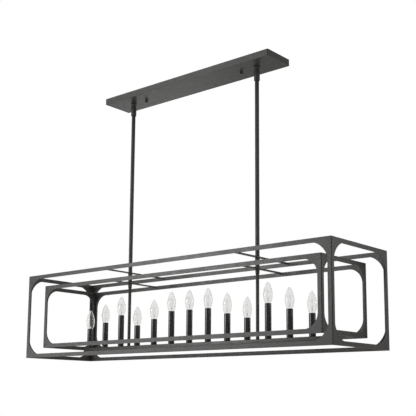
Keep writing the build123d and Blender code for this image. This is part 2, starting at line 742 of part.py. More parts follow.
with BuildPart() as canopy_leads:
    for x, level in ((-stem_x, high_level), (stem_x, low_level)):
        toward = 1 if x < 0 else -1
        for y, run_y, splice_x in (
            (lead_side, NEAR_LEAD_Y, -toward * SPLICE_X),
            (-lead_side, FAR_LEAD_Y, toward * SPLICE_X),
        ):
            lead(
                (x, y, ball_z + BALL_RADIUS + LEAD_RADIUS),
                (x, y, level),
                (x + toward * LEAD_SETTLE, run_y, level),
                (splice_x, run_y, level),
                (splice_x, SPLICE_Y, level),
                bends=[LEAD_BEND, LEAD_SETTLE_BEND, LEAD_SPLICE_BEND],
            )
    lead(
        (GROUND_SCREW_X, GROUND_HEAD_RADIUS + HOLE_CLEARANCE, -STRAP_THICKNESS - LEAD_RADIUS),
        (GROUND_SCREW_X, GROUND_LEAD_Y, -STRAP_THICKNESS - LEAD_RADIUS),
        (GROUND_SPLICE_X, GROUND_LEAD_Y, splice_z),
        (GROUND_SPLICE_X, SPLICE_Y, splice_z),
        bends=LEAD_SPLICE_BEND,
    )
save(canopy_leads, "canopy_leads")

# ---- wiring below: down both stems, and along the bar from each stem or socket to the next --------
lead_ends = [(x, stem_lead_top) for x, y in stem_places]
for x, kind in zip(lamp_x, ROW):
    lead_ends.append((x, bar_top + sleeve_length[kind] - socket_drop + STEM_IN_SOCKET))
lead_ends.sort()
with BuildPart() as lamp_leads:
    y = lead_side
    for (start_x, start_z), (end_x, end_z) in zip(lead_ends, lead_ends[1:]):
        lead(
            (start_x, y, start_z),
            (start_x, y, bar_lead_z),
            (end_x, y, bar_lead_z),
            (end_x, y, end_z),
            bends=LEAD_BEND,
        )
        y = -y
save(lamp_leads, "lamp_leads")
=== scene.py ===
import math
import bmesh
import bpy
from mathutils import Matrix, Vector


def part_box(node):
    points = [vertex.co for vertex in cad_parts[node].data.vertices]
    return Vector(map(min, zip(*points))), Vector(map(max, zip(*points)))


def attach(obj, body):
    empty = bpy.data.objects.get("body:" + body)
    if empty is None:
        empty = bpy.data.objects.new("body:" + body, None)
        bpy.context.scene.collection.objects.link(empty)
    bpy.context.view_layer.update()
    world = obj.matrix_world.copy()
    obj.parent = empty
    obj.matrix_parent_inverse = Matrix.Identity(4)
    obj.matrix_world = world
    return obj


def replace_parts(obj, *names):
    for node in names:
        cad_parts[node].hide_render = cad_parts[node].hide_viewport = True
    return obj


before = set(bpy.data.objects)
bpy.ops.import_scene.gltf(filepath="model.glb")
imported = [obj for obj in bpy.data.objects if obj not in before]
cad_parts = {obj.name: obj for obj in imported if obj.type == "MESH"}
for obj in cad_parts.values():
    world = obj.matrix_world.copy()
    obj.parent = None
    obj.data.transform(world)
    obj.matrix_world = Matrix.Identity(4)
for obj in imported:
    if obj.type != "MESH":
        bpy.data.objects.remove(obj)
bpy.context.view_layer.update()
MM = 0.001

# ---- studio -------------------------------------------------------------------------------------
# The pendant hangs in a plain white room over a pale floor, lit by large soft lamps. The camera
# stands low at its right front corner and looks a little up, with a slightly risen lens.
CAMERA_PLACE = (2.212, -2.510, -1.283)
CAMERA_YAW = -40.18
CAMERA_PITCH = 9.41
CAMERA_ROLL = 0.38
CAMERA_LENS = 74.79
CAMERA_RISE = 0.12
CAMERA_SENSOR = 36.0
CAMERA_REACH = 100.0
ROOM_WHITE = "#ffffff"
ROOM_SHADE = "#f6f6f5"
ROOM_FILL = 0.19
MIRRORED_SHARE = 0.2
FLOOR_COLOUR = "#f2f2f0"
FLOOR_GLOW = 0.8
FLOOR_BELOW_CEILING = 2.45
FLOOR_REACH = 9.0
FLOOR_CORNERS = ((-1, -1), (1, -1), (1, 1), (-1, 1))


def node(tree, kind, inputs=None, **settings):
    """Adds one shader node: settings are its own options, inputs are numbers or other sockets."""
    made = tree.nodes.new(kind)
    for name, value in settings.items():
        setattr(made, name, value)
    for name, value in (inputs or {}).items():
        if isinstance(value, bpy.types.NodeSocket):
            tree.links.new(value, made.inputs[name])
        else:
            made.inputs[name].default_value = value
    return made


def paint(code):
    """Linear RGBA of an sRGB hex colour."""
    channels = [int(code[i : i + 2], 16) / 255 for i in (1, 3, 5)]
    return [c / 12.92 if c <= 0.04045 else ((c + 0.055) / 1.055) ** 2.4 for c in channels] + [1.0]


def shown_white(tree):
    """1 for rays from the lens or through glass, a share of it for reflections, and 0 for all others."""
    path = node(tree, "ShaderNodeLightPath")
    seen = node(
        tree,
        "ShaderNodeMath",
        {0: path.outputs["Is Camera Ray"], 1: path.outputs["Is Transmission Ray"]},
        operation="MAXIMUM",
    )
    mirrored = node(
        tree,
        "ShaderNodeMath",
        {0: path.outputs["Is Glossy Ray"], 1: MIRRORED_SHARE},
        operation="MULTIPLY",
    )
    return node(
        tree,
        "ShaderNodeMath",
        {0: seen.outputs[0], 1: mirrored.outputs[0]},
        operation="MAXIMUM",
    ).outputs[0]


camera = bpy.data.objects.new("camera", bpy.data.cameras.new("camera"))
bpy.context.scene.collection.objects.link(camera)
camera.data.sensor_width = CAMERA_SENSOR
camera.data.lens = CAMERA_LENS
camera.data.shift_y = CAMERA_RISE
camera.data.clip_end = CAMERA_REACH
camera.matrix_world = (
    Matrix.Translation(CAMERA_PLACE)
    @ Matrix.Rotation(math.radians(-CAMERA_YAW), 4, "Z")
    @ Matrix.Rotation(math.radians(90 + CAMERA_PITCH), 4, "X")
    @ Matrix.Rotation(math.radians(CAMERA_ROLL), 4, "Z")
)
bpy.context.scene.camera = camera
bpy.context.scene.view_settings.view_transform = "Standard"

room = bpy.data.worlds.new("room")
bpy.context.scene.world = room
room.use_nodes = True
tree = room.node_tree
tree.nodes.clear()
room_fill = node(tree, "ShaderNodeBackground", {"Color": paint(ROOM_SHADE), "Strength": ROOM_FILL})
room_white = node(tree, "ShaderNodeBackground", {"Color": paint(ROOM_WHITE), "Strength": 1.0})
room_mix = node(
    tree,
    "ShaderNodeMixShader",
    {0: shown_white(tree), 1: room_fill.outputs[0], 2: room_white.outputs[0]},
)
node(tree, "ShaderNodeOutputWorld", {"Surface": room_mix.outputs[0]})

cage_low, cage_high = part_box("outer_front_panel")
cage_middle = Vector((0.0, 0.0, (cage_low.z + cage_high.z) / 2))


def softbox(name, place, width, height, watts, mirrored=True):
    """A large rectangular studio lamp that faces the cages, seen in shiny surfaces or not."""
    lamp = bpy.data.objects.new(name, bpy.data.lights.new(name, "AREA"))
    bpy.context.scene.collection.objects.link(lamp)
    lamp.data.shape = "RECTANGLE"
    lamp.data.size, lamp.data.size_y = width, height
    lamp.data.energy = watts
    lamp.visible_camera = False
    lamp.visible_transmission = False
    lamp.visible_glossy = mirrored
    lamp.location = place
    lamp.rotation_mode = "QUATERNION"
    lamp.rotation_quaternion = (cage_middle - Vector(place)).to_track_quat("-Z", "Y")


softbox("key_left_front", (-1.75, -2.6, -0.3), width=1.4, height=0.8, watts=29.0)
softbox("low_left_front", (-3.15, -2.6, -1.1), width=1.4, height=0.8, watts=16.0)
softbox("high_left_front", (-2.0, -2.4, 1.3), width=1.6, height=1.0, watts=13.0)
softbox("fill_right_front", (2.12, -2.12, -0.5), width=0.8, height=1.6, watts=27.0, mirrored=False)
softbox("low_right_back", (3.0, 1.4, -0.9), width=0.5, height=0.6, watts=27.0, mirrored=False)
softbox("high_right_back", (2.8, 1.8, -0.2), width=0.5, height=0.6, watts=8.0)
softbox("rim_left_back", (-2.26, 2.26, -0.4), width=1.0, height=1.8, watts=5.0)
softbox("top", (0.0, -0.3, 1.9), width=3.0, height=2.0, watts=53.0)

floor_mesh = bpy.data.meshes.new("floor")
floor_mesh.from_pydata(
    [(x * FLOOR_REACH, y * FLOOR_REACH, -FLOOR_BELOW_CEILING) for x, y in FLOOR_CORNERS],
    [],
    [(0, 1, 2, 3)],
)
floor = bpy.data.objects.new("floor", floor_mesh)
bpy.context.scene.collection.objects.link(floor)
floor_paint = bpy.data.materials.new("white_studio_floor")
floor_paint.use_nodes = True
tree = floor_paint.node_tree
tree.nodes.clear()
floor_matt = node(tree, "ShaderNodeBsdfDiffuse", {"Color": paint(FLOOR_COLOUR)})
floor_glow = node(tree, "ShaderNodeEmission", {"Color": paint(ROOM_WHITE), "Strength": FLOOR_GLOW})
floor_dark = node(tree, "ShaderNodeEmission", {"Strength": 0.0})
floor_lift = node(
    tree,
    "ShaderNodeMixShader",
    {0: shown_white(tree), 1: floor_dark.outputs[0], 2: floor_glow.outputs[0]},
)
floor_sum = node(tree, "ShaderNodeAddShader", {0: floor_matt.outputs[0], 1: floor_lift.outputs[0]})
node(tree, "ShaderNodeOutputMaterial", {"Surface": floor_sum.outputs[0]})
floor_mesh.materials.append(floor_paint)

# ---- canopy pan ---------------------------------------------------------------------------------
# A tray folded from 1.2 mm sheet steel and powder coated in satin charcoal, open to the ceiling.
# The same coat is on all the frame: fine orange peel, soft sheen, and a painted highlight that lightens its
# cut edges.
COAT_COLOUR = "#2e2d2c"
COAT_THICKER = "#333130"
COAT_GRAIN = "#262524"
# Paler grey painted along the cut edges as a highlight, where light would catch them.
COAT_EDGE_HIGHLIGHT = "#4a4846"
COAT_CLOUD_MM = 90.0
COAT_SHEEN_MM = 25.0
COAT_GRAIN_MM = 0.6
COAT_GRAIN_SHARE = 0.25
ORANGE_PEEL_MM = 1.6
ORANGE_PEEL_DEPTH_MM = 0.03
COAT_EDGE_MM = 0.5
EDGE_LEAN_STARTS = 0.98
EDGE_LEAN_ENDS = 0.75
NOISE_DIPS = 0.3
NOISE_PEAKS = 0.7
# Sockets of a colour mix, by number because their names repeat.
MIX_SHARE = 0
MIX_FIRST = 6
MIX_SECOND = 7
MIXED = 2


def surface(name):
    """A new material with an empty node tree, and the positions on the object in millimetres."""
    made = bpy.data.materials.new(name)
    made.use_nodes = True
    tree = made.node_tree
    tree.nodes.clear()
    where = node(tree, "ShaderNodeTexCoord")
    space = node(
        tree,
        "ShaderNodeMapping",
        {"Vector": where.outputs["Object"], "Scale": (1 / MM, 1 / MM, 1 / MM)},
    )
    return made, tree, space.outputs[0]


def uneven(tree, space, size_mm, low, high, detail=2.0, roughness=0.5):
    """A value that wanders from low to high in patches of about the given size."""
    patches = node(
        tree,
        "ShaderNodeTexNoise",
        {"Vector": space, "Scale": 1 / size_mm, "Detail": detail, "Roughness": roughness},
    )
    return node(
        tree,
        "ShaderNodeMapRange",
        {
            "Value": patches.outputs["Fac"],
            "From Min": NOISE_DIPS,
            "From Max": NOISE_PEAKS,
            "To Min": low,
            "To Max": high,
        },
    ).outputs["Result"]


def mottled(tree, space, size_mm, first, second, detail=2.0):
    """A colour that wanders between two hex colours in patches of about the given size."""
    share = uneven(tree, space, size_mm, 0.0, 1.0, detail)
    return node(
        tree,
        "ShaderNodeMix",
        {MIX_SHARE: share, MIX_FIRST: paint(first), MIX_SECOND: paint(second)},
        data_type="RGBA",
    ).outputs[MIXED]


def relief(tree, space, size_mm, depth_mm, strength, detail=2.0):
    """Normals of a skin with dents of about the given size and depth."""
    dents = node(
        tree,
        "ShaderNodeTexNoise",
        {"Vector": space, "Scale": 1 / size_mm, "Detail": detail},
    )
    return node(
        tree,
        "ShaderNodeBump",
        {"Height": dents.outputs["Fac"], "Distance": depth_mm * MM, "Strength": strength},
    ).outputs[0]


def cut_edges(tree, radius_mm):
    """1 along sharp edges and 0 on flat faces, from how far a rounded normal leans off the real one."""
    rounded = node(tree, "ShaderNodeBevel", {"Radius": radius_mm * MM}, samples=4)
    real = node(tree, "ShaderNodeNewGeometry")
    lean = node(
        tree,
        "ShaderNodeVectorMath",
        {0: rounded.outputs[0], 1: real.outputs["Normal"]},
        operation="DOT_PRODUCT",
    )
    made = node(
        tree,
        "ShaderNodeMapRange",
        {
            "Value": lean.outputs["Value"],
            "From Min": EDGE_LEAN_STARTS,
            "From Max": EDGE_LEAN_ENDS,
            "To Min": 0.0,
            "To Max": 1.0,
        },
    )
    return made.outputs["Result"]


# Polyester powder coat, sprayed and baked: satin, with a pebbled skin that is drawn about twice as
# coarse as it is so that it shows, and cloudy by a few per cent where the film is thicker.
powder_coat, tree, space = surface("satin_charcoal_powder_coat")
clouded = mottled(tree, space, COAT_CLOUD_MM, COAT_COLOUR, COAT_THICKER, detail=3.0)
grain_share = uneven(tree, space, COAT_GRAIN_MM, 0.0, COAT_GRAIN_SHARE, detail=3.0, roughness=0.6)
grained = node(
    tree,
    "ShaderNodeMix",
    {MIX_SHARE: grain_share, MIX_FIRST: clouded, MIX_SECOND: paint(COAT_GRAIN)},
    data_type="RGBA",
)
# Painted highlight: the cut edges are mixed towards a paler grey, as if they caught the light.
edge_highlight_share = cut_edges(tree, COAT_EDGE_MM)
edged = node(
    tree,
    "ShaderNodeMix",
    {MIX_SHARE: edge_highlight_share, MIX_FIRST: grained.outputs[MIXED], MIX_SECOND: paint(COAT_EDGE_HIGHLIGHT)},
    data_type="RGBA",
)
coat = node(
    tree,
    "ShaderNodeBsdfPrincipled",
    {
        "Base Color": edged.outputs[MIXED],
        "Roughness": uneven(tree, space, COAT_SHEEN_MM, 0.36, 0.44, detail=4.0),
        "Specular IOR Level": 0.5,
        "IOR": 1.5,
        "Normal": relief(tree, space, ORANGE_PEEL_MM, ORANGE_PEEL_DEPTH_MM, strength=0.35),
    },
)
node(tree, "ShaderNodeOutputMaterial", {"Surface": coat.outputs[0]})


def finish_nodes(material, *names):
    """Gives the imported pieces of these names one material."""
    for name in names:
        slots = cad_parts[name].data.materials
        slots.clear()
        slots.append(material)


finish_nodes(powder_coat, "canopy_pan")

# ---- strap, studs, nuts and nipples -------------------------------------------------------------
# A stamped steel strap with pressed-in studs, hexagon nuts and threaded nipples, all bright zinc
# plated. The plate has a faint spangle and fine rolling lines along the strap.
ZINC_BRIGHT = "#b9b8b2"
ZINC_DULL = "#a3a39f"
SPANGLE_MM = 2.5
ROLLING_LINES_PER_MM = 3.0
ROLLING_LINE_RUN_MM = 20.0

zinc_plate, tree, space = surface("bright_zinc_plate")
spangle = node(tree, "ShaderNodeTexVoronoi", {"Vector": space, "Scale": 1 / SPANGLE_MM})
rolled = node(
    tree,
    "ShaderNodeMapping",
    {"Vector": space, "Scale": (1 / ROLLING_LINE_RUN_MM, ROLLING_LINES_PER_MM, ROLLING_LINES_PER_MM)},
)
along = rolled.outputs[0]
crystals = node(
    tree,
    "ShaderNodeMix",
    {MIX_SHARE: spangle.outputs["Distance"], MIX_FIRST: paint(ZINC_BRIGHT), MIX_SECOND: paint(ZINC_DULL)},
    data_type="RGBA",
)
zinc = node(
    tree,
    "ShaderNodeBsdfPrincipled",
    {
        "Base Color": crystals.outputs[MIXED],
        "Metallic": 1.0,
        "Roughness": uneven(tree, along, 1.0, 0.28, 0.4),
        "Normal": relief(tree, along, 1.0, depth_mm=0.02, strength=0.3),
    },
)
node(tree, "ShaderNodeOutputMaterial", {"Surface": zinc.outputs[0]})
finish_nodes(
    zinc_plate,
    "mounting_strap",
    "strap_studs",
    "swivel_lock_nuts",
    "rod_joiners",
    "hanger_nipples",
    "bar_nipples",
    "bar_lock_nuts",
    "socket_stems",
)

# ---- ground screw -------------------------------------------------------------------------------
# A pan head machine screw in the strap, dyed green over zinc as ground screws are.
# The dye lies thicker and darker in patches.
DYE_GREEN = "#2f8a4a"
DYE_THICKER = "#1f6b38"
DYE_PATCH_MM = 3.0
DYE_GRAIN_MM = 0.5

green_dye, tree, space = surface("green_dyed_zinc")
screw = node(
    tree,
    "ShaderNodeBsdfPrincipled",
    {
        "Base Color": mottled(tree, space, DYE_PATCH_MM, DYE_GREEN, DYE_THICKER, detail=3.0),
        "Metallic": 0.7,
        "Roughness": uneven(tree, space, DYE_PATCH_MM, 0.3, 0.42, detail=3.0),
        "Normal": relief(tree, space, DYE_GRAIN_MM, depth_mm=0.01, strength=0.4),
    },
)
node(tree, "ShaderNodeOutputMaterial", {"Surface": screw.outputs[0]})
finish_nodes(green_dye, "ground_screw")

# ---- wire connectors and leads ------------------------------------------------------------------
# Twist-on connectors moulded in orange polypropylene, and stranded leads in black PVC.
# Both are slightly uneven plastics with a soft gloss.
MOULDED_ORANGE = "#d9741f"
MOULDED_SHADE = "#c9661a"
MOULD_FLOW_MM = 6.0
MOULD_GRAIN_MM = 0.8
PVC_BLACK = "#232323"
PVC_SHADE = "#1b1b1b"
STRAND_MM = 1.5

moulded_orange, tree, space = surface("orange_polypropylene")
orange = node(
    tree,
    "ShaderNodeBsdfPrincipled",
    {
        "Base Color": mottled(tree, space, MOULD_FLOW_MM, MOULDED_ORANGE, MOULDED_SHADE, detail=3.0),
        "Roughness": uneven(tree, space, MOULD_FLOW_MM, 0.42, 0.52, detail=3.0),
        "Normal": relief(tree, space, MOULD_GRAIN_MM, depth_mm=0.03, strength=0.4),
    },
)
node(tree, "ShaderNodeOutputMaterial", {"Surface": orange.outputs[0]})
finish_nodes(moulded_orange, "wire_connectors")

black_pvc, tree, space = surface("black_pvc_jacket")
jacket = node(
    tree,
    "ShaderNodeBsdfPrincipled",
    {
        "Base Color": mottled(tree, space, STRAND_MM, PVC_BLACK, PVC_SHADE),
        "Roughness": uneven(tree, space, STRAND_MM, 0.38, 0.5),
        "Normal": relief(tree, space, STRAND_MM, depth_mm=0.03, strength=0.3),
    },
)
node(tree, "ShaderNodeOutputMaterial", {"Surface": jacket.outputs[0]})
finish_nodes(black_pvc, "canopy_leads", "lamp_leads")

# ---- thumb nuts ---------------------------------------------------------------------------------
# Two blind brass nuts, coated like the canopy, that screw onto the strap's studs and hold it up.
# Each is turned from knurled bar, with a crowned lower end and a step in its upper end.
NUT_KNURLS = 30
NUT_KNURL_DEPTH_MM = 0.25
NUT_CROWN_MM = 1.6
NUT_STEP_MM = 0.7
NUT_STEP_HEIGHT_MM = 1.8
NUT_FLOOR_MM = 1.4
NUT_ROUND_MM = 0.5
NUT_BORE_GAP_MM = 0.06
NUT_SHARP = 28.0
KNURLED_BEYOND_DEPTHS = 8
ROUNDING_SHARE = 0.45
SHARP_ANGLE = 35.0
WELD = 1e-7


def soften(corners, radius_mm, steps=3, kept=()):
    """Rounds the corners of a closed outline of (radius, height) points, but for those kept."""
    rounded = []
    triples = zip(corners[-1:] + corners[:-1], corners, corners[1:] + corners[:1])
    for index, (before, corner, after) in enumerate(triples):
        corner = Vector(corner)
        if index in kept:
            rounded.append(corner)
            continue
        back, ahead = Vector(before) - corner, Vector(after) - corner
        reach = min(radius_mm * MM, back.length * ROUNDING_SHARE, ahead.length * ROUNDING_SHARE)
        first, last = corner + back.normalized() * reach, corner + ahead.normalized() * reach
        for step in range(steps + 1):
            t = step / steps
            rounded.append(first * (1 - t) ** 2 + corner * 2 * t * (1 - t) + last * t**2)
    return rounded


def add_turned(mesh, outline, x, y, sides, knurl_depth=0.0):
    """Turns a closed outline about the upright line through x and y, with knurls away from the axis."""
    rings = []
    for step in range(sides):
        angle = 2 * math.pi * step / sides
        ring = []
        for radius, height in outline:
            if radius > knurl_depth * KNURLED_BEYOND_DEPTHS:
                radius -= knurl_depth * (step % 2)
            ring.append(mesh.verts.new((x + radius * math.cos(angle), y + radius * math.sin(angle), height)))
        rings.append(ring)
    for here, there in zip(rings, rings[1:] + rings[:1]):
        for i in range(len(outline)):
            j = (i + 1) % len(outline)
            mesh.faces.new((here[i], there[i], there[j], here[j]))


def finished_mesh(name, mesh, material, sharp=SHARP_ANGLE):
    """Turns a bmesh into mesh data with outward faces, smooth but for edges above the sharp angle."""
    bmesh.ops.remove_doubles(mesh, verts=mesh.verts, dist=WELD)
    bmesh.ops.recalc_face_normals(mesh, faces=mesh.faces)
    data = bpy.data.meshes.new(name)
    mesh.to_mesh(data)
    mesh.free()
    data.shade_smooth()
    data.set_sharp_from_angle(angle=math.radians(sharp))
    data.materials.append(material)
    return data


def place_piece(name, data, body, place=(0.0, 0.0, 0.0)):
    """Puts mesh data in the scene as a named piece that rides on a body."""
    made = bpy.data.objects.new(name, data)
    bpy.context.scene.collection.objects.link(made)
    made.location = place
    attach(made, body)
    return made


def coated(name, mesh, nodes, body="fixture", sharp=SHARP_ANGLE):
    """A powder coated piece, made from a bmesh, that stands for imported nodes."""
    made = place_piece(name, finished_mesh(name, mesh, powder_coat, sharp), body)
    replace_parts(made, *nodes)


def middle(name):
    """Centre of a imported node, and its half sizes."""
    low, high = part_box(name)
    return (low + high) / 2, (high - low) / 2


bore = middle("strap_studs")[1].y + NUT_BORE_GAP_MM * MM
crown = NUT_CROWN_MM * MM
for name in ("thumb_nut_left", "thumb_nut_right"):
    low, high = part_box(name)
    centre, half = middle(name)
    floor_z = low.z + NUT_FLOOR_MM * MM
    step_r = half.x - NUT_STEP_MM * MM
    step_z = high.z - NUT_STEP_HEIGHT_MM * MM
    outline = [(0, low.z), (half.x - crown, low.z), (half.x, low.z + crown), (half.x, step_z)]
    outline += [(step_r, step_z), (step_r, high.z), (bore, high.z), (bore, floor_z), (0, floor_z)]
    outline = soften(outline, NUT_ROUND_MM, kept=(0, len(outline) - 1))
    nut = bmesh.new()
    add_turned(nut, outline, centre.x, centre.y, 2 * NUT_KNURLS, NUT_KNURL_DEPTH_MM * MM)
    coated(f"{name}_knurled", nut, [name], body=name, sharp=NUT_SHARP)

# ---- swivels and rod couplers -------------------------------------------------------------------
# Turned steel, coated with the frame: a round cup under the canopy holds a hollow ball by its lip,
# and the ball's neck screws into a long sleeve that is dished on top so that it clears the cup.
TURNED_SIDES = 64
ARC_STEPS = 10
BALL_STEPS = 24
BALL_MM = 7.0
BALL_DROP_MM = 4.6
NECK_MM = 4.0
NECK_LENGTH_MM = 14.0
LEAD_BORE_MM = 2.5
THREAD_MM = 5.0
CUP_SEAT_MM = 7.06
CUP_COLLAR_MM = 9.5
CUP_FOOT_IN_MM = 3.0
CUP_FOOT_UP_MM = 2.0
CUP_ROUND_MM = 1.1
DISH_MM = 12.79
DISH_RIM_MM = 0.5
ROD_SOCKET_MM = 15.0
COUPLER_ROUND_MM = 0.8


def arc(centre_z, radius, start, end, steps):
    """Points (radius, height) of an arc about a point on the axis, by angle up from level."""
    points = []
    for i in range(steps + 1):
        angle = math.radians(start + (end - start) * i / steps)
        points.append(Vector((radius * math.cos(angle), centre_z + radius * math.sin(angle))))
    return points


canopy_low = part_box("canopy_pan")[0]
ball_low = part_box("swivel_balls")[0]
cup_low, cup_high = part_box("swivel_cups")
cup_r = middle("swivel_cups")[1].y
stem_x = middle("upper_rod_right")[0].x
ball_z = canopy_low.z - BALL_DROP_MM * MM
seat = CUP_SEAT_MM * MM
thread = THREAD_MM * MM

shell = [(cup_r - CUP_FOOT_IN_MM * MM, cup_low.z), (cup_r, cup_low.z + CUP_FOOT_UP_MM * MM)]
shell += [(cup_r, canopy_low.z), (CUP_COLLAR_MM * MM, canopy_low.z)]
shell += [(CUP_COLLAR_MM * MM, cup_high.z), (seat, cup_high.z)]
opening = math.degrees(math.asin((cup_low.z - ball_z) / seat))
cup = shell + arc(ball_z, seat, 0, opening, ARC_STEPS)
cup = soften(cup, CUP_ROUND_MM, kept=range(len(shell), len(cup)))

neck_z = ball_z - NECK_LENGTH_MM * MM
bore_angle = math.degrees(math.acos(LEAD_BORE_MM / BALL_MM))
neck_angle = -math.degrees(math.acos(NECK_MM / BALL_MM))
ball = arc(ball_z, BALL_MM * MM, bore_angle, neck_angle, BALL_STEPS)
ball += [(NECK_MM * MM, neck_z), (thread, neck_z), (thread, ball_low.z), (LEAD_BORE_MM * MM, ball_low.z)]

cups = bmesh.new()
balls = bmesh.new()
for x in (-stem_x, stem_x):
    add_turned(cups, cup, x, 0, TURNED_SIDES)
    add_turned(balls, ball, x, 0, TURNED_SIDES)
coated("swivel_cup_shells", cups, ["swivel_cups"], body="canopy")
coated("swivel_ball_studs", balls, ["swivel_balls"])

dish = DISH_MM * MM
for side in ("left", "right"):
    name = f"rod_coupler_{side}"
    foot_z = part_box(name)[0].z
    socket_z = foot_z + ROD_SOCKET_MM * MM
    centre, half = middle(name)
    rod_r = middle(f"upper_rod_{side}")[1].x
    rim = -math.degrees(math.acos((half.x - DISH_RIM_MM * MM) / dish))
    throat = -math.degrees(math.acos(thread / dish))
    bowl = arc(ball_z, dish, throat, rim, ARC_STEPS)
    outline = bowl + [bowl[-1] + Vector((DISH_RIM_MM * MM, 0)), (half.x, foot_z), (rod_r, foot_z)]
    outline += [(rod_r, socket_z), (thread, socket_z)]
    outline = soften(outline, COUPLER_ROUND_MM, steps=4, kept=range(len(bowl)))
    coupler = bmesh.new()
    add_turned(coupler, outline, centre.x, 0, TURNED_SIDES)
    coated(f"{name}_sleeve", coupler, [name])

# ---- rods, spacers and down tubes ---------------------------------------------------------------
# Drawn steel tubes, cut square and lightly deburred, then coated: two lengths butt on a hidden
# joiner in each rod, a short one holds the cross-bars apart and a thinner one runs to the light bar.
TUBE_DEBURR_MM = 0.35


def add_tube(mesh, x, low_z, high_z, outer, bore, round_mm=TUBE_DEBURR_MM, steps=2):
    """Adds a straight upright tube with softened ends to a mesh."""
    wall = [(outer, low_z), (outer, high_z), (bore, high_z), (bore, low_z)]
    add_turned(mesh, soften(wall, round_mm, steps), x, 0, TURNED_SIDES)


rod_bore = middle("rod_joiners")[1].y
for side in ("left", "right"):
    for kind, bore in (("upper_rod", rod_bore), ("lower_rod", rod_bore), ("down_tube", thread)):
        name = f"{kind}_{side}"
        low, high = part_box(name)
        made = bmesh.new()
        add_tube(made, (low.x + high.x) / 2, low.z, high.z, (high.x - low.x) / 2, bore)
        coated(f"{name}_wall", made, [name])

low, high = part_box("spacer_tubes")
made = bmesh.new()
for x in (-stem_x, stem_x):
    add_tube(made, x, low.z, high.z, (high.y - low.y) / 2, rod_bore)
coated("spacer_tube_walls", made, ["spacer_tubes"])

# ---- collar nuts and taper nuts -----------------------------------------------------------------
# Turned steel nuts on the hanger nipples, coated: plain round collars clamp the outer cross-bars,
# and longer ones under the inner cross-bars narrow in a soft shoulder to the down tubes.
COLLAR_ROUND_MM = 1.2
TAPER_STRAIGHT_MM = 8.0
TAPER_THREAD_MM = 10.0
TAPER_END_MM = 7.35
TAPER_ROUND_MM = 0.6

low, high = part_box("collar_nuts")
made = bmesh.new()
for x in (-stem_x, stem_x):
    add_tube(made, x, low.z, high.z, (high.y - low.y) / 2, thread, COLLAR_ROUND_MM, steps=4)
coated("collar_nut_rounds", made, ["collar_nuts"])

low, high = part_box("taper_nuts")
outer = (high.y - low.y) / 2
tube_r = middle("down_tube_left")[1].x
thread_end_z = high.z - TAPER_THREAD_MM * MM
taper = [(TAPER_END_MM * MM, low.z), (outer, high.z - TAPER_STRAIGHT_MM * MM), (outer, high.z)]
taper += [(thread, high.z), (thread, thread_end_z), (tube_r, thread_end_z), (tube_r, low.z)]
made = bmesh.new()
for x in (-stem_x, stem_x):
    add_turned(made, soften(taper, TAPER_ROUND_MM), x, 0, TURNED_SIDES)
coated("taper_nut_rounds", made, ["taper_nuts"])

# ---- cages --------------------------------------------------------------------------------------
# Each cage is four panels cut from 3 mm sheet steel, with quarter-round gussets left in the window
# corners. The long panels' ends are stepped back so that the end panels' cut edges show, and all
# are welded, ground and coated together.
CUT_EDGE_MM = 0.3
STRIP_MM = 15.9
GUSSET_STEPS = 18
GUSSETS_MM = {"outer": (76.2, 12.7), "inner": (54.0, 15.9)}
SHEET_WELD = 2e-6
SHEET_SHARP = 12.0


def window_outline(width, height, gusset_radius, inset):
    """Points of a panel's window: strips on four sides, and an arc across each corner."""
    strip = STRIP_MM * MM
    centre_u, centre_v = width / 2 - inset - gusset_radius, height / 2 - inset - gusset_radius
    start = math.acos(min(1.0, (inset + gusset_radius - strip) / gusset_radius))
    points = []
    for turn in range(4):
        for step in range(GUSSET_STEPS + 1):
            angle = turn * math.pi / 2 + start + (math.pi / 2 - 2 * start) * step / GUSSET_STEPS
            u = math.copysign(centre_u, math.cos(angle)) + gusset_radius * math.cos(angle)
            v = math.copysign(centre_v, math.sin(angle)) + gusset_radius * math.sin(angle)
            points.append((u, v))
    return points


def cut_sheet(name, outlines, thickness, stand, nodes):
    """A coated flat sheet with holes and slightly rounded cut edges, stood in place by a matrix."""
    drawn = bpy.data.curves.new(name, "CURVE")
    drawn.dimensions = "2D"
    drawn.fill_mode = "BOTH"
    drawn.bevel_depth = CUT_EDGE_MM * MM
    drawn.bevel_resolution = 1
    drawn.offset = -CUT_EDGE_MM * MM
    drawn.extrude = thickness / 2 - CUT_EDGE_MM * MM
    for outline in outlines:
        line = drawn.splines.new("POLY")
        line.points.add(len(outline) - 1)
        for point, (u, v) in zip(line.points, outline):
            point.co = (u, v, 0, 1)
        line.use_cyclic_u = True
    flat = bpy.data.objects.new(name, drawn)
    bpy.context.scene.collection.objects.link(flat)
    bpy.context.view_layer.update()
    solid = bmesh.new()
    solid.from_mesh(flat.evaluated_get(bpy.context.evaluated_depsgraph_get()).to_mesh())
    bpy.data.objects.remove(flat)
    bpy.data.curves.remove(drawn)
    bmesh.ops.remove_doubles(solid, verts=solid.verts, dist=SHEET_WELD)
    solid.transform(stand)
    coated(name, solid, nodes, sharp=SHEET_SHARP)


def rectangle(width, height):
    """Corner points of a rectangle about the origin."""
    u, v = width / 2, height / 2
    return [(-u, -v), (u, -v), (u, v), (-u, v)]


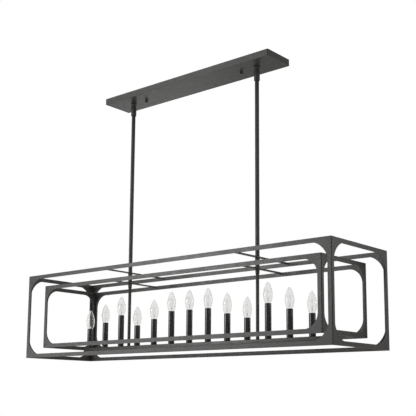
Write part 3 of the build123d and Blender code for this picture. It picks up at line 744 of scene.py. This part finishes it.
for cage in ("outer", "inner"):
    gusset_radius, inset = (size * MM for size in GUSSETS_MM[cage])
    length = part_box(f"{cage}_right_panel")[1].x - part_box(f"{cage}_left_panel")[0].x
    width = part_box(f"{cage}_back_panel")[1].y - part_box(f"{cage}_front_panel")[0].y
    for side in ("front", "back", "left", "right"):
        name = f"{cage}_{side}_panel"
        centre, half = middle(name)
        if side in ("front", "back"):
            size, window, sheet = (2 * half.x, 2 * half.z), length, 2 * half.y
            stand = Matrix.Rotation(math.pi / 2, 4, "X")
        else:
            size, window, sheet = (2 * half.y, 2 * half.z), width, 2 * half.x
            stand = Matrix.Rotation(math.pi / 2, 4, "Z") @ Matrix.Rotation(math.pi / 2, 4, "X")
        cuts = [rectangle(*size), window_outline(window, 2 * half.z, gusset_radius, inset)]
        cut_sheet(f"{name}_sheet", cuts, sheet, Matrix.Translation(centre) @ stand, [name])

# ---- cross-bars ---------------------------------------------------------------------------------
# Flat steel bars across the top of each cage, one at each rod, drilled for the hanger nipple and
# welded between the long panels with their faces flush with the panels' top edges.
NIPPLE_HOLE_MM = 5.2


def circle(radius, steps=32):
    """Points round a circle about the origin."""
    angles = [2 * math.pi * i / steps for i in range(steps)]
    return [(radius * math.cos(angle), radius * math.sin(angle)) for angle in angles]


for cage in ("outer", "inner"):
    for side in ("left", "right"):
        name = f"{cage}_cross_bar_{side}"
        centre, half = middle(name)
        cuts = [rectangle(2 * half.x, 2 * half.y), circle(NIPPLE_HOLE_MM * MM)]
        cut_sheet(f"{name}_flat", cuts, 2 * half.z, Matrix.Translation(centre), [name])

# ---- light bar ----------------------------------------------------------------------------------
# A channel folded from 1.2 mm sheet with closed ends, open below, and a flat cover plate that two
# cap nuts hold in its mouth. The folds have a small outside radius.
FOLD_MM = 1.6
BAR_SHEET_MM = 1.2
BAR_SHARP = 20.0
CAP_DOME = ((0.0, 0.0), (0.55, 0.3), (0.9, 1.6), (1.0, 3.2))
CAP_FLOOR_MM = 2.5
CAP_ROUND_MM = 0.8


def bottom_faces(mesh):
    """Faces of a mesh that look straight down."""
    return [face for face in mesh.faces if face.normal.z < -0.9]


low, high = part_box("light_bar")
sheet = BAR_SHEET_MM * MM
bar = bmesh.new()
corners = bmesh.ops.create_cube(bar, size=1.0)["verts"]
bmesh.ops.scale(bar, vec=high - low, verts=corners)
bmesh.ops.translate(bar, vec=(high + low) / 2, verts=corners)
mouth = bottom_faces(bar)
folds = [edge for edge in bar.edges if not any(face in mouth for face in edge.link_faces)]
bmesh.ops.bevel(bar, geom=folds, offset=FOLD_MM * MM, segments=4, affect="EDGES", profile=0.5)
mouth = bottom_faces(bar)
bmesh.ops.inset_region(bar, faces=mouth, thickness=sheet, use_even_offset=True)
sunk = bmesh.ops.extrude_face_region(bar, geom=mouth)
lifted = [part for part in sunk["geom"] if isinstance(part, bmesh.types.BMVert)]
bmesh.ops.translate(bar, vec=(0, 0, high.z - low.z - sheet), verts=lifted)
bmesh.ops.delete(bar, geom=mouth, context="FACES_ONLY")
coated("light_bar_channel", bar, ["light_bar"], sharp=BAR_SHARP)
finish_nodes(powder_coat, "light_bar_cover")

low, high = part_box("bar_cap_nuts")
outer = (high.y - low.y) / 2
cap_floor_z = low.z + CAP_FLOOR_MM * MM
cap = [(outer * share, low.z + rise_mm * MM) for share, rise_mm in CAP_DOME]
cap += [(outer, high.z), (thread, high.z), (thread, cap_floor_z), (0, cap_floor_z)]
made = bmesh.new()
for x in (-stem_x, stem_x):
    add_turned(made, soften(cap, CAP_ROUND_MM, kept=(0, len(cap) - 1)), x, 0, TURNED_SIDES)
coated("bar_cap_nut_domes", made, ["bar_cap_nuts"])

# ---- candle sleeves -----------------------------------------------------------------------------
# Thin steel tubes, 24 mm across, which stand on the bar round the sockets at three heights. They
# are enamelled in a smoother and blacker finish than the frame, and their cut rims are softened.
ENAMEL_COLOUR = "#131212"
ENAMEL_MIST = "#191817"
ENAMEL_MIST_MM = 12.0
ENAMEL_SKIN_MM = 2.0
LAMP_COUNT = 13
SLEEVE_WALL_MM = 1.2
SLEEVE_RIM_MM = 0.5
BULB_BELOW_RIM_MM = 27.5

# Stoved enamel, rubbed smooth round the tube: highlights stay narrow across it and run up and down.
satin_enamel, tree, space = surface("satin_black_enamel")
round_tube = node(tree, "ShaderNodeTangent", direction_type="RADIAL", axis="Z")
enamel = node(
    tree,
    "ShaderNodeBsdfPrincipled",
    {
        "Base Color": mottled(tree, space, ENAMEL_MIST_MM, ENAMEL_COLOUR, ENAMEL_MIST, detail=3.0),
        "Roughness": uneven(tree, space, ENAMEL_MIST_MM, 0.18, 0.23, detail=3.0),
        "Specular IOR Level": 0.65,
        "Anisotropic": 0.8,
        "Anisotropic Rotation": 0.25,
        "Tangent": round_tube.outputs[0],
        "Normal": relief(tree, space, ENAMEL_SKIN_MM, depth_mm=0.01, strength=0.15),
    },
)
node(tree, "ShaderNodeOutputMaterial", {"Surface": enamel.outputs[0]})

bulb_names = [f"bulb_{number:02d}" for number in range(1, LAMP_COUNT + 1)]
for size in ("short", "middle", "tall"):
    name = f"candle_sleeves_{size}"
    low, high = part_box(name)
    outer = (high.y - low.y) / 2
    bore = outer - SLEEVE_WALL_MM * MM
    made = bmesh.new()
    for bulb in bulb_names:
        rim_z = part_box(bulb)[0].z + BULB_BELOW_RIM_MM * MM
        if abs(rim_z - high.z) < MM:
            add_tube(made, middle(bulb)[0].x, low.z, high.z, outer, bore, SLEEVE_RIM_MM, steps=4)
    tubes = finished_mesh(f"candle_tubes_{size}", made, satin_enamel)
    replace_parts(place_piece(f"candle_tubes_{size}", tubes, "fixture"), name)

# ---- lamp sockets -------------------------------------------------------------------------------
# Candelabra sockets moulded in black phenolic, screwed to threaded stems inside the sleeves.
# Phenolic is dull, slightly brown and faintly mottled by its wood flour.
PHENOLIC_BLACK = "#201d1b"
PHENOLIC_FLOUR = "#2a2522"
FLOUR_MM = 1.5

phenolic, tree, space = surface("black_phenolic")
resin = node(
    tree,
    "ShaderNodeBsdfPrincipled",
    {
        "Base Color": mottled(tree, space, FLOUR_MM, PHENOLIC_BLACK, PHENOLIC_FLOUR, detail=4.0),
        "Roughness": uneven(tree, space, FLOUR_MM, 0.45, 0.6, detail=4.0),
        "Normal": relief(tree, space, FLOUR_MM, depth_mm=0.03, strength=0.4, detail=4.0),
    },
)
node(tree, "ShaderNodeOutputMaterial", {"Surface": resin.outputs[0]})
finish_nodes(phenolic, "lamp_sockets")

# ---- bulbs --------------------------------------------------------------------------------------
# Clear torpedo lamps on candelabra screw bases: a blown glass envelope, a glass mount with two
# nickel lead wires and a fine coiled filament inside, and a rolled brass shell with a solder tip.
GLASS_CLEAR = "#f4f4f3"
GLASS_THICKER = "#eeeeed"
GLASS_PATCH_MM = 22.0
BRASS_BRIGHT = "#c9b277"
BRASS_TARNISH = "#b89c5f"
TARNISH_MM = 4.0
NICKEL_BRIGHT = "#8f8c86"
NICKEL_DULL = "#6f6c68"
DULLED_MM = 1.5
GLASS_R_MM = 17.5
GLASS_HEIGHT_MM = 78.5
GLASS_WALL_MM = 0.8
GLASS_OUTLINE = ((0.83, 0.13), (1.0, 0.40), (0.87, 0.61), (0.60, 0.80), (0.32, 0.93), (0.12, 0.99))
GLASS_MOUTH_MM = 9.3
GLASS_NECK_MM = 5.0
NECK_DROP_MM = 9.0
NECK_FOOT_MM = 13.0
MOUNT_FLARE_MM = ((0, -13), (4.0, -13), (3.2, -9), (2.2, -3))
MOUNT_PINCH_MM = ((1.9, 5), (1.9, 10), (1.4, 13.5), (0, 14))
LEAD_WIRE_MM = 0.28
LEAD_WIRE_RISE_MM = ((0.7, 8), (0.9, 14), (2.6, 18), (4.6, 24), (5.0, 27))
PROP_WIRE_MM = 0.18
PROP_WIRE_RISE_MM = ((0, 0, 12), (0, 0, 47), (0, 0.8, 48.5))
COIL_TURNS = 34
COIL_STEPS = COIL_TURNS * 8
COIL_SPAN_MM = 5.0
COIL_FOOT_MM = 27.0
COIL_RISE_MM = 21.0
COIL_ARCH = 0.7
COIL_WIND_MM = 0.35
COIL_WIRE_MM = 0.09
BASE_R_MM = 5.85
BASE_TOP_MM = -9.0
BASE_FOOT_MM = -25.5
BASE_RIM_MM = 1.6
BASE_CONE_MM = 1.0
BASE_CONE_SLOPE = 1.4
BASE_ROWS = 84
BASE_COLUMNS = 36
THREAD_PITCH_MM = 2.54
THREAD_DEPTH_MM = 0.35
THREAD_RUNOUT_MM = 1.2
TIP_FOOT_MM = -BULB_BELOW_RIM_MM
TIP_DOME_MM = ((0, 0), (1.6, 0.1), (2.4, 0.8))
TIP_R_MM = 2.6
SMALL_TURNED_SIDES = 24
BULB_SHARP = 40.0

# Blown soda-lime glass: clear, a trace of grey and not quite even, with sharp bright highlights.
clear_glass, tree, space = surface("clear_blown_glass")
glass = node(
    tree,
    "ShaderNodeBsdfPrincipled",
    {
        "Base Color": mottled(tree, space, GLASS_PATCH_MM, GLASS_CLEAR, GLASS_THICKER),
        "Roughness": uneven(tree, space, GLASS_PATCH_MM, 0.0, 0.02),
        "IOR": 1.47,
        "Transmission Weight": 1.0,
    },
)
node(tree, "ShaderNodeOutputMaterial", {"Surface": glass.outputs[0]})

# Brass sheet, rolled to a thread: warm and bright, with faint tarnish in patches.
rolled_brass, tree, space = surface("rolled_brass")
brass = node(
    tree,
    "ShaderNodeBsdfPrincipled",
    {
        "Base Color": mottled(tree, space, TARNISH_MM, BRASS_BRIGHT, BRASS_TARNISH, detail=3.0),
        "Metallic": 1.0,
        "Roughness": uneven(tree, space, TARNISH_MM, 0.22, 0.36, detail=3.0),
        "Normal": relief(tree, space, TARNISH_MM, depth_mm=0.01, strength=0.3, detail=3.0),
    },
)
node(tree, "ShaderNodeOutputMaterial", {"Surface": brass.outputs[0]})

# Drawn nickel wire, dulled by heat: grey and half matt. The solder tip has the same look.
nickel_wire, tree, space = surface("nickel_lead_wire")
wire = node(
    tree,
    "ShaderNodeBsdfPrincipled",
    {
        "Base Color": mottled(tree, space, DULLED_MM, NICKEL_BRIGHT, NICKEL_DULL),
        "Metallic": 1.0,
        "Roughness": uneven(tree, space, DULLED_MM, 0.3, 0.45),
    },
)
node(tree, "ShaderNodeOutputMaterial", {"Surface": wire.outputs[0]})


def smooth_line(points, steps=8):
    """A smooth curve through points, by Catmull-Rom spans."""
    points = [Vector(point) for point in points]
    padded = [points[0] * 2 - points[1]] + points + [points[-1] * 2 - points[-2]]
    line = []
    for a, b, c, d in zip(padded, padded[1:], padded[2:], padded[3:]):
        for i in range(steps):
            t = i / steps
            slope = (c - a) * t
            bend = (2 * a - 5 * b + 4 * c - d) * t**2
            twist = (3 * b - a - 3 * c + d) * t**3
            line.append(0.5 * (2 * b + slope + bend + twist))
    return line + [points[-1]]


def torpedo(inset_mm):
    """Half outline of the glass from its neck's foot to its tip, set in from the outer face."""
    shape = [(GLASS_NECK_MM, -NECK_DROP_MM), (GLASS_MOUTH_MM, 0)]
    shape += [(GLASS_R_MM * across, GLASS_HEIGHT_MM * up) for across, up in GLASS_OUTLINE]
    line = [Vector((GLASS_NECK_MM, -NECK_FOOT_MM))] + smooth_line(shape)
    tip = Vector((0, GLASS_HEIGHT_MM - inset_mm)) * MM
    return [Vector((x - inset_mm, z)) * MM for x, z in line] + [tip]


def add_wire(mesh, points, radius, sides=8):
    """Adds a round wire through points to a mesh."""
    points = [Vector(point) for point in points]
    rings = []
    for i, point in enumerate(points):
        ahead = points[min(i + 1, len(points) - 1)] - points[max(i - 1, 0)]
        turn = ahead.to_track_quat("Z", "Y")
        ring = []
        for k in range(sides):
            angle = 2 * math.pi * k / sides
            out = Vector((radius * math.cos(angle), radius * math.sin(angle), 0))
            ring.append(mesh.verts.new(point + turn @ out))
        rings.append(ring)
    for here, there in zip(rings, rings[1:]):
        for k in range(sides):
            mesh.faces.new((here[k], here[(k + 1) % sides], there[(k + 1) % sides], there[k]))
    mesh.faces.new(rings[0][::-1])
    mesh.faces.new(rings[-1])


def fade_in(distance, run):
    """0 before a run starts and 1 after it ends, with a straight ramp between."""
    return min(1.0, max(0.0, distance / run))


envelope = bmesh.new()
add_turned(envelope, torpedo(0) + torpedo(GLASS_WALL_MM)[::-1], 0, 0, TURNED_SIDES)

mount = bmesh.new()
stem = smooth_line(MOUNT_FLARE_MM + MOUNT_PINCH_MM, steps=3)
add_turned(mount, [point * MM for point in stem], 0, 0, SMALL_TURNED_SIDES)

filament = bmesh.new()
for sign in (-1, 1):
    rise = smooth_line(LEAD_WIRE_RISE_MM, steps=4)
    add_wire(filament, [(sign * x * MM, 0, z * MM) for x, z in rise], LEAD_WIRE_MM * MM)
prop = [(x * MM, y * MM, z * MM) for x, y, z in PROP_WIRE_RISE_MM]
add_wire(filament, prop, PROP_WIRE_MM * MM)
coil = []
for i in range(COIL_STEPS + 1):
    t = i / COIL_STEPS
    angle = 2 * math.pi * COIL_TURNS * t
    x = COIL_WIND_MM * math.cos(angle) - COIL_SPAN_MM * math.cos(math.pi * t)
    y = COIL_WIND_MM * math.sin(angle)
    z = COIL_FOOT_MM + COIL_RISE_MM * math.sin(math.pi * t) ** COIL_ARCH
    coil.append((x * MM, y * MM, z * MM))
add_wire(filament, coil, COIL_WIRE_MM * MM, sides=5)

base = bmesh.new()
cone_mm = BASE_FOOT_MM + BASE_CONE_MM
rings = []
for row in range(BASE_ROWS + 1):
    z = BASE_TOP_MM + (BASE_FOOT_MM - BASE_TOP_MM) * row / BASE_ROWS
    ramp = fade_in(BASE_TOP_MM - BASE_RIM_MM - z, THREAD_RUNOUT_MM) * fade_in(z - cone_mm, THREAD_RUNOUT_MM)
    ring = []
    for column in range(BASE_COLUMNS):
        angle = 2 * math.pi * column / BASE_COLUMNS
        wave = 0.5 - 0.5 * math.cos(2 * math.pi * z / THREAD_PITCH_MM - angle)
        r = BASE_R_MM - THREAD_DEPTH_MM * ramp * wave - BASE_CONE_SLOPE * max(0.0, cone_mm - z)
        ring.append(base.verts.new(Vector((r * math.cos(angle), r * math.sin(angle), z)) * MM))
    rings.append(ring)
for here, there in zip(rings, rings[1:]):
    for k in range(BASE_COLUMNS):
        base.faces.new((here[k], there[k], there[(k + 1) % BASE_COLUMNS], here[(k + 1) % BASE_COLUMNS]))
base.faces.new(rings[0])
base.faces.new(rings[-1][::-1])

eyelet = bmesh.new()
solder = [(across, TIP_FOOT_MM + up) for across, up in TIP_DOME_MM]
solder += [(TIP_R_MM, BASE_FOOT_MM), (0, BASE_FOOT_MM)]
add_turned(eyelet, [Vector(point) * MM for point in solder], 0, 0, SMALL_TURNED_SIDES)

bulb_parts = {
    "envelope": (envelope, "bulb_glass", clear_glass),
    "mount": (mount, "bulb_glass", clear_glass),
    "filament": (filament, "lamp_base_metal", nickel_wire),
    "base": (base, "lamp_base_metal", rolled_brass),
    "tip": (eyelet, "lamp_base_metal", nickel_wire),
}
shared = {}
for part, (mesh, slot, material) in bulb_parts.items():
    shared[part] = finished_mesh(f"bulb_{part}", mesh, material, BULB_SHARP), slot
for bulb in bulb_names:
    low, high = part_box(bulb)
    place = ((low.x + high.x) / 2, (low.y + high.y) / 2, low.z - TIP_FOOT_MM * MM)
    for part, (data, slot) in shared.items():
        made = place_piece(f"{bulb}_{part}", data, bulb, place)
        if part == "envelope":
            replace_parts(made, bulb)

bpy.context.view_layer.update()
